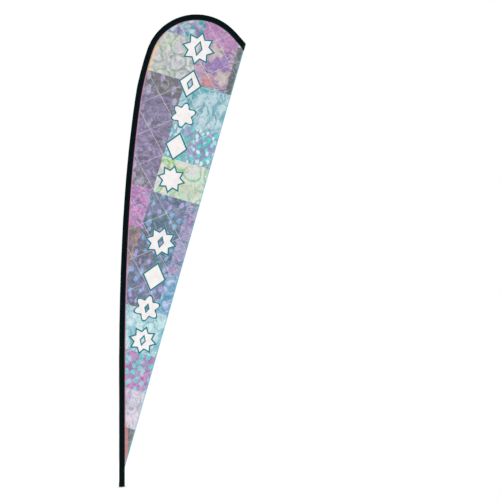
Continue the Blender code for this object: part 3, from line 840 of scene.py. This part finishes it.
def closeIn(s):  # how far the loop closes on the bare tube, away from collars, stops and the sleeve's ends
    lowest = sleeve["mouths"][0]
    gap = min([abs(s - mouth + 0.008) for mouth in sleeve["mouths"]] + [s, noseAt - s])
    if s < lowest:
        gap = min(gap, lowest - sleeve["liftRoom"] - s)
    room = max(loopRadius(s) - tubeRadius(s) - sleeve["clear"], 0.0)
    return min(room, sleeve["hug"]) * float(ease((gap - sleeve["collarLength"]) / sleeve["hugOver"]))


def sleeveLine(s, offset, lipEnd, crease=True):
    # half-open line round the sleeve from one lip to the other, and the direction outwards at each point
    radius = loopRadius(s) - closeIn(s) + offset
    centre = sleeve["wall"] + loopRadius(s)
    lip, start = sleeve["lip"] + offset, edge["lipStart"]
    reach = math.hypot(start - centre, lip)
    tangent = math.atan2(lip, start - centre) + math.acos(radius / reach)
    line, out = [], []
    for share in sleeve["lipShares"]:
        line.append((lipEnd + (start - lipEnd) * share, lip))
        out.append((0.0, 1.0))
    leave = (centre + radius * math.cos(tangent), radius * math.sin(tangent))
    for share in sleeve["sideShares"]:
        sag = sleeve["sag"] * math.sin(math.pi * share)
        line.append((start + (leave[0] - start) * share, lip + (leave[1] - lip) * share - sag))
        out.append((math.cos(tangent) * share, math.sin(tangent) * share + 1 - share))
    for angle in np.linspace(tangent, math.pi, sleeve["round"] // 2 + 1):
        line.append((centre + radius * math.cos(angle), radius * math.sin(angle)))
        out.append((math.cos(angle), math.sin(angle)))
    line, out = np.array(line), np.array(out)
    if crease:
        bend = 1.0 if sleeve["crown"] < s < noseAt - 0.05 else 0.25
        lipPart = ease((13 - np.arange(len(line))) / 8.0)
        wave = sum(height * ripple(s, length, start) for height, length, start in sleeve["creases"])
        slow = ripple(s, 0.19, 0.5) + ripple(s, 0.083, 0.0)
        rise = (sleeve["crease"] + sleeve["bent"] * bend) * (wave + 1.6) * lipPart
        rise = rise + sleeve["loose"] * (slow + 2) * (1 - lipPart)
        rise = rise * ease((s - 0.035) / 0.03) * ease((noseAt - 0.03 - s) / 0.03)
        line = line + out * rise[:, None]
    line = np.concatenate([line, line[-2::-1] * (1, -1)])
    return line * (1, -1)  # from the front lip round to the back one


def sleevePlace(s, line, shear=True):
    # shear lets the last rings lean until they lie along the trailing edge
    ring = []
    late = float(ease((s - (noseAt - 0.10)) / 0.10)) if shear else 0.0
    for inset, y in line:
        at = s + late * (noseEnd(inset) - noseAt) if late else s
        x, z = insetAt(at, inset)
        ring.append((x, y, z))
    return ring


def lengths(line):
    steps = np.linalg.norm(np.diff(line, axis=0), axis=1)
    return np.concatenate([[0.0], np.cumsum(steps)])


def sleeveBand(name, levels, gap, crease):
    # a band of cloth round the sleeve: each level is a place along it and the wall's thickness there
    outerRings, innerRings, mark = [], [], []
    for s, wall in levels:
        outerLine = sleeveLine(s, gap + wall, edge["chord"], crease)
        innerLine = sleeveLine(s, gap, edge["chord"], crease)
        outerRings.append(sleevePlace(s, outerLine, crease))
        innerRings.append(sleevePlace(s, innerLine, crease))
        mark.append(np.stack([lengths(outerLine), np.full(len(outerLine), s)], axis=-1))
    return shell(name, outerRings, innerRings, mark), mark


rows = list(np.arange(sleeve["lift"], noseAt - 0.004, sleeve["rowStep"]))
for mouth in sleeve["mouths"]:
    rows += [mouth + step for step in sleeve["collarRows"]]
rows = sorted([*rows, noseAt - 0.0015, noseAt])
poleSleeve, sleeveMark = sleeveBand("sleeve_cloth", [(s, sleeve["wall"]) for s in rows], 0.0, True)
finishPiece(poleSleeve, "flag", blackCloth, "black_cloth", "pole_sleeve")
print("sleeve made,", len(rows), "rows")

footHem = {
    "from": 0.002,
    "gap": 0.0013,
    "wall": 0.0008,
    "flat": (0.088, 0.022),
    "profile": (  # height above the sleeve's foot, and the wall's share there: a dip is a stitched row
        (0.0, 0.35),
        (0.0003, 0.75),
        (0.0009, 1.0),
        (0.004, 1.0),
        (0.009, 0.97),
        (0.0150, 1.0),
        (0.0160, 0.7),
        (0.0165, 0.5),
        (0.0170, 0.7),
        (0.0180, 1.0),
        (0.0205, 1.0),
        (0.0213, 0.9),
        (0.0218, 0.6),
        (0.0220, 0.25),
    ),
}
levels = [(footHem["from"] + rise, footHem["wall"] * full) for rise, full in footHem["profile"]]
footBand = sleeveBand("sleeve_foot_band", levels, footHem["gap"], False)[0]
finishPiece(footBand, "flag", blackCloth, "black_cloth", "sleeve_foot_hem")

strap = {
    "from": 0.002,
    "to": 0.074,
    "left": 0.0263,
    "right": 0.0357,
    "half": 0.0012,
    "columns": 9,
    "rows": 28,
}
across = np.linspace(strap["left"], strap["right"], strap["columns"])
rise = np.linspace(strap["from"], strap["to"], strap["rows"])
flatX = np.array([[insetAt(s, inset)[0] for inset in across] for s in rise])
flatZ = np.array([[insetAt(s, inset)[1] for inset in across] for s in rise])
rounded = strap["half"] * (1 - 0.35 * np.abs(np.linspace(-1, 1, strap["columns"])) ** 6)
rounded = np.repeat(rounded[None], strap["rows"], axis=0)
strapMark = np.stack(np.broadcast_arrays(across[None], rise[:, None]), axis=-1)
front, back = layer(flatX, flatZ, -rounded, 0), layer(flatX, flatZ, rounded, 0)
footStrap = shell("foot_strap", front, back, strapMark)
finishPiece(footStrap, "flag", webbing, "webbing", "foot_webbing")

# the tape that closes the sleeve at the nose: a wrap round its end, and a cap over the end
tape = {
    "gap": 0.0013,
    "wall": 0.0005,
    "row": 0.0092,  # the stitches, from the trailing edge
    "flat": (0.085, 0.024),
    "wrap": (  # distance inside the trailing edge, and the wall's share there
        (0.013, 0.3),
        (0.0127, 0.8),
        (0.0120, 1.0),
        (0.0100, 1.0),
        (0.0092, 0.6),
        (0.0084, 1.0),
        (0.0050, 1.0),
        (0.002, 1.0),
        (0.0, 1.0),
        (-0.0010, 1.0),
    ),
    "cap": (  # the same distance, and how far the cap's rim stands out from the sleeve's cloth
        (-0.0003, 0.0013),
        (-0.0004, 0.0017),
        (-0.0010, 0.0019),
        (-0.0014, 0.0015),
        (-0.0015, 0.0009),
    ),
}


def noseRing(offset, depth):
    line = sleeveLine(noseAt, offset, edge["chord"] + 0.0002, False)
    ring = []
    for inset, y in line:
        x, z = insetAt(noseEnd(inset, depth), inset)
        ring.append((x, y, z))
    return ring, line


outerRings, innerRings, tapeMark = [], [], []
for depth, full in tape["wrap"]:
    ring, line = noseRing(tape["gap"] + tape["wall"] * full, depth)
    outerRings.append(ring)
    innerRings.append(noseRing(tape["gap"], depth)[0])
    tapeMark.append(np.stack([lengths(line), np.full(len(line), depth)], axis=-1))
noseWrap = shell("nose_wrap", outerRings, innerRings, tapeMark)
body = bmesh.new()
body.from_mesh(noseWrap.data)
uvs = body.loops.layers.uv.verify()
capRings = []
for depth, reach in tape["cap"]:
    capRings.append([body.verts.new(p) for p in noseRing(reach, depth)[0]])
for low, high in zip(capRings, capRings[1:]):
    for i in range(len(low)):
        j = (i + 1) % len(low)
        body.faces.new((low[i], low[j], high[j], high[i]))
half = len(capRings[0]) // 2
for ring in (capRings[0], capRings[-1]):
    for i in range(half):
        corners = list(dict.fromkeys((ring[i], ring[i + 1], ring[-2 - i], ring[-1 - i])))
        if len(corners) > 2:
            body.faces.new(corners)
bmesh.ops.recalc_face_normals(body, faces=body.faces)
for face in body.faces:
    for loop in face.loops:
        if loop[uvs].uv.length < 1e-9:  # the cap's faces have no place on the cloth yet
            loop[uvs].uv = (loop.vert.co.y, loop.vert.co.x)
body.to_mesh(noseWrap.data)
body.free()
noseWrap.data.shade_smooth()
noseWrap.data.set_sharp_from_angle(angle=math.radians(40))
finishPiece(noseWrap, "flag", webbing, "webbing", "nose_tape")
print("hems and tape made")

# stitches


def stitchTree():
    tree = bpy.data.node_groups.new("stitches", "GeometryNodeTree")
    kinds = {"Path": "Geometry", "Seed": "Int", "Thread": "Material"}
    sockets = {}
    for name in ("Path", "Pitch", "Length", "Width", "Height", "Slant", "Seed", "Thread"):
        kind = "NodeSocket" + kinds.get(name, "Float")
        sockets[name] = tree.interface.new_socket(name=name, in_out="INPUT", socket_type=kind).identifier
    tree.interface.new_socket(name="Stitches", in_out="OUTPUT", socket_type="NodeSocketGeometry")

    def add(kind, settings=None, **inputs):
        made = tree.nodes.new(kind)
        for key, value in (settings or {}).items():
            setattr(made, key, value)
        for key, value in inputs.items():
            target = made.inputs[key.replace("_", " ")]
            if isinstance(value, bpy.types.NodeSocket):
                tree.links.new(value, target)
            else:
                target.default_value = value
        return made

    given = add("NodeGroupInput").outputs
    curve = add("GeometryNodeMeshToCurve", Mesh=given["Path"]).outputs[0]
    spaced = {"mode": "LENGTH"}
    beads = add("GeometryNodeResampleCurve", spaced, Curve=curve, Length=given["Pitch"]).outputs[0]
    bead = add("GeometryNodeMeshUVSphere", Segments=6, Rings=4, Radius=0.5).outputs[0]
    size = add("ShaderNodeCombineXYZ", X=given["Length"], Y=given["Width"], Z=given["Height"]).outputs[0]
    turn = add("ShaderNodeCombineXYZ", Z=given["Slant"]).outputs[0]
    stitch = add("GeometryNodeTransform", Geometry=bead, Scale=size, Rotation=turn).outputs[0]
    tangent = add("GeometryNodeInputTangent").outputs[0]
    named = {"data_type": "FLOAT_VECTOR"}
    out = add("GeometryNodeInputNamedAttribute", named, Name="outward").outputs[0]
    lie = add("FunctionNodeAlignRotationToVector", {"axis": "X"}, Vector=tangent).outputs[0]
    upright = {"axis": "Z", "pivot_axis": "X"}
    lift = add("FunctionNodeAlignRotationToVector", upright, Rotation=lie, Vector=out).outputs[0]
    vary = add("FunctionNodeRandomValue", named, Seed=given["Seed"])
    vary.inputs[0].default_value = (0.93, 0.9, 0.9)
    vary.inputs[1].default_value = (1.05, 1.08, 1.1)
    placed = {"Points": beads, "Instance": stitch, "Rotation": lift, "Scale": vary.outputs[0]}
    spread = add("GeometryNodeInstanceOnPoints", **placed).outputs[0]
    real = add("GeometryNodeRealizeInstances", Geometry=spread).outputs[0]
    dressed = add("GeometryNodeSetMaterial", Geometry=real, Material=given["Thread"]).outputs[0]
    smooth = add("GeometryNodeSetShadeSmooth", Geometry=dressed).outputs[0]
    add("NodeGroupOutput", Stitches=smooth)
    return tree, sockets


stitching = {
    "pitch": 0.0040,
    "length": 0.0031,
    "width": 0.0008,
    "height": 0.0005,
    "slant": 0.10,
    "seed": 7,
}
tree, sockets = stitchTree()


def sew(name, paths, thread, slot, *replaced, **changes):
    # paths are lists of (point, outward direction); each becomes a row of stitches
    size = {**stitching, **changes}
    points, edges, outward = [], [], []
    for path in paths:
        start = len(points)
        points += [p for p, n in path]
        outward += [n for p, n in path]
        edges += [(start + i, start + i + 1) for i in range(len(path) - 1)]
    mesh = bpy.data.meshes.new(name + "_path")
    mesh.from_pydata([tuple(p) for p in points], edges, [])
    away = mesh.attributes.new("outward", "FLOAT_VECTOR", "POINT")
    away.data.foreach_set("vector", np.array(outward, float).ravel())
    guide = link(name + "_path", mesh)
    made = guide.modifiers.new("stitches", "NODES")
    made.node_group = tree
    for key, value in size.items():
        made[sockets[key.capitalize()]] = value
    made[sockets["Thread"]] = thread
    guide.update_tag()
    graph = bpy.context.evaluated_depsgraph_get()
    real = bpy.data.meshes.new_from_object(guide.evaluated_get(graph))
    guide.modifiers.remove(made)
    bpy.data.objects.remove(guide, do_unlink=True)
    real.name = name
    finishPiece(link(name, real), "flag", thread, slot, *replaced)


seamRows = {"outer": 0.0020, "inner": 0.0065}  # from the lip's edge
seamRun = {"from": 0.0235, "short": 0.014, "step": 0.0034}  # clear of the foot's hem and the nose's tape
hemRun = {"from": 0.016, "short": 0.034, "step": 0.006}
start = sleeve["lift"] + seamRun["from"]
end = noseEnd(edge["chord"]) - seamRun["short"]
for side, sign in (("front", -1), ("back", 1)):
    for row, fromLip in seamRows.items():
        inset = edge["chord"] - fromLip
        path = []
        for s in np.arange(start, end, seamRun["step"]):
            line = sleeveLine(min(s, noseAt), sleeve["wall"], edge["chord"])
            lip = line[:8]
            y = float(np.interp(-inset, -lip[:, 0], np.abs(lip[:, 1])))
            x, z = insetAt(s, inset)
            path.append(((x, sign * (y + 0.00008), z), (0, sign, 0)))
        sew(f"seam_stitches_{side}_{row}", [path], blackThread, "thread", f"seam_thread_{side}_{row}")
    along = np.arange(hemRun["from"], trailLength - hemRun["short"], hemRun["step"])
    places = trailFoot[None] + along[:, None] * trailUp + sail["hemRow"] * trailIn
    rise = -sailSway(places[:, 0], places[:, 1])
    y = rise + sign * (sail["outer"] + 0.15 * sail["hemRise"] + 0.0002)
    path = [((p[0], y[i], p[1]), (0, sign, 0)) for i, p in enumerate(places)]
    sew(f"hem_stitches_{side}", [path], paleThread, "pale_thread", f"hem_thread_{side}")


def aroundSleeve(s, offset):
    line = sleeveLine(s, offset, edge["chord"] - 0.001, False)
    ring = sleevePlace(s, line, False)
    centre = sleeve["wall"] + loopRadius(s)
    path = []
    for (inset, y), place in zip(line, ring):
        out = (inset - centre, y) if inset < centre else (0.0, y)
        size = math.hypot(*out) or 1.0
        path.append((place, (out[0] / size, out[1] / size, 0.0)))
    return path


footRows = []  # height above the sleeve's foot, and the wall's share there
for rise, full in ((0.0165, 0.55), (0.0035, 1.0)):
    footRows.append(aroundSleeve(footHem["from"] + rise, footHem["gap"] + footHem["wall"] * full))
sew("foot_band_stitches", footRows, blackThread, "thread", pitch=0.0034, length=0.0026)

# a block of zigzag stitches on each lip, just below the print
tack = {"low": 0.030, "high": 0.012, "near": 0.0012, "far": 0.0085, "turns": 26}
lipTop = sleeve["lip"] + sleeve["wall"] + 0.0005
tackRows = []
for sign in (-1, 1):
    path = []
    for number in range(tack["turns"] + 1):
        s = edge["foot"] - tack["low"] + (tack["low"] - tack["high"]) * number / tack["turns"]
        x, z = insetAt(s, edge["chord"] - (tack["near"] if number % 2 else tack["far"]))
        path.append(((x, sign * lipTop, z), (0, sign, 0)))
    tackRows.append(path)
sew("foot_tacks", tackRows, blackThread, "thread", pitch=0.0022, length=0.0024)

noseRow = []
for inset, y in sleeveLine(noseAt, tape["gap"] + 0.6 * tape["wall"], edge["chord"] - 0.0008, False):
    x, z = insetAt(noseEnd(inset, tape["row"]), inset)
    centre = sleeve["wall"] + loopRadius(noseAt)
    out = Vector((0.8 * (inset - centre), y)) if inset < centre else Vector((0, y))
    out = out.normalized() if out.length else Vector((0, 1))
    noseRow.append(((x, y, z), (out.x, out.y, out.x)))
sew("nose_stitches", [noseRow], blackThread, "thread", pitch=0.0030, length=0.0023)
print("stitches made")

# the pad in the nose, softened at its edges

pad = nodes["nose_pad"].data.copy()
padBody = bmesh.new()
padBody.from_mesh(pad)
bmesh.ops.remove_doubles(padBody, verts=padBody.verts, dist=0.00001)
bmesh.ops.recalc_face_normals(padBody, faces=padBody.faces)
padBody.to_mesh(pad)
padBody.free()
nosePad = link("nose_felt", pad)
soften = nosePad.modifiers.new("soften", "BEVEL")
soften.width, soften.segments, soften.limit_method = 0.0006, 2, "ANGLE"
felt = makeMoulded("felt", "101214", "1c2022", 0.95)
finishPiece(nosePad, "flag", felt, "webbing", "nose_pad")

# the pole's own finishes

steel = makeMetal("steel", "b9bbbe", "8d9094", 0.32, (1, 1, 14))
aluminium = makeMetal("aluminium", "c6c8cb", "a3a6ab", 0.36, (14, 14, 0.6))
nylon = makeMoulded("nylon", "1b1c1e", "2a2c2e", 0.46)
fibreglass = makeFibreglass()
finishes = [
    (steel, "spindle", "retaining_washer", "retaining_screw"),
    (steel, "lower_tube_collar", "second_tube_stop", "second_tube_collar"),
    (steel, "third_tube_stop", "third_tube_collar", "tip_rod_stop"),
    (nylon, "thrust_washer", "foot_bush", "top_bush", "tip_cap"),
    (aluminium, "lower_tube"),
    (fibreglass, "second_tube", "third_tube", "tip_rod"),
]
for material, *names in finishes:
    for name in names:
        for place in nodes[name].material_slots:
            place.material = material
print("pole finished")

# floor, light and camera

studio = {
    "floorRadius": 1.5,
    "worldSeen": 1.0,
    "worldLight": 0.70,
    "aim": Vector((0.8049, 0, 1.4781)),
    "away": 12.0,
    "fieldWidth": 3.118,
    "sensor": 36,
    "lightSize": 3.0,
    "lightPower": 111,
}

ground = bmesh.new()
bmesh.ops.create_circle(ground, cap_ends=True, segments=96, radius=studio["floorRadius"])
bmesh.ops.translate(ground, verts=ground.verts, vec=(0.1, 0, -0.0005))
floorMesh = bpy.data.meshes.new("floor")
ground.to_mesh(floorMesh)
ground.free()
floor = link("floor", floorMesh)
g = Graph("pale_floor", Roughness=0.9, Specular_IOR_Level=0.1, Emission_Strength=0.22)
g.shader.inputs["Emission Color"].default_value = (1, 1, 1, 1)
g.to("Base Color", g.mix(g.noise(g.where(), 40, 2.0), paint("fafafa"), paint("f4f5f6")))
floor.data.materials.append(g.material)

scene = bpy.context.scene
world = bpy.data.worlds.new("studio")
world.use_nodes = True
scene.world = world
around = world.node_tree
around.nodes.clear()
ray = around.nodes.new("ShaderNodeLightPath")
strength = around.nodes.new("ShaderNodeMapRange")
strength.inputs["To Min"].default_value = studio["worldLight"]
strength.inputs["To Max"].default_value = studio["worldSeen"]
sky = around.nodes.new("ShaderNodeBackground")
sky.inputs["Color"].default_value = (1, 1, 1, 1)
result = around.nodes.new("ShaderNodeOutputWorld")
around.links.new(ray.outputs["Is Camera Ray"], strength.inputs["Value"])
around.links.new(strength.outputs[0], sky.inputs["Strength"])
around.links.new(sky.outputs[0], result.inputs["Surface"])


def areaLight(name, place, target, size, power):
    data = bpy.data.lights.new(name, "AREA")
    data.size = size
    data.energy = power
    lamp = link(name, data)
    lamp.location = place
    lamp.rotation_euler = (Vector(target) - Vector(place)).to_track_quat("-Z", "Y").to_euler()


areaLight("key", (-2.0, -5.0, 4.0), (0.35, 0, 1.6), studio["lightSize"], studio["lightPower"])
areaLight("fill", (3.0, 5.0, 3.0), (0.35, 0, 1.5), studio["lightSize"], studio["lightPower"])

camera = bpy.data.cameras.new("camera")
camera.sensor_width = studio["sensor"]
camera.lens = studio["sensor"] * studio["away"] / studio["fieldWidth"]
camera.clip_end = 60
eye = link("camera", camera)
eye.location = studio["aim"] + Vector((0, -studio["away"], 0))
eye.rotation_euler = (math.pi / 2, 0, 0)
scene.camera = eye
scene.view_settings.view_transform = "Standard"
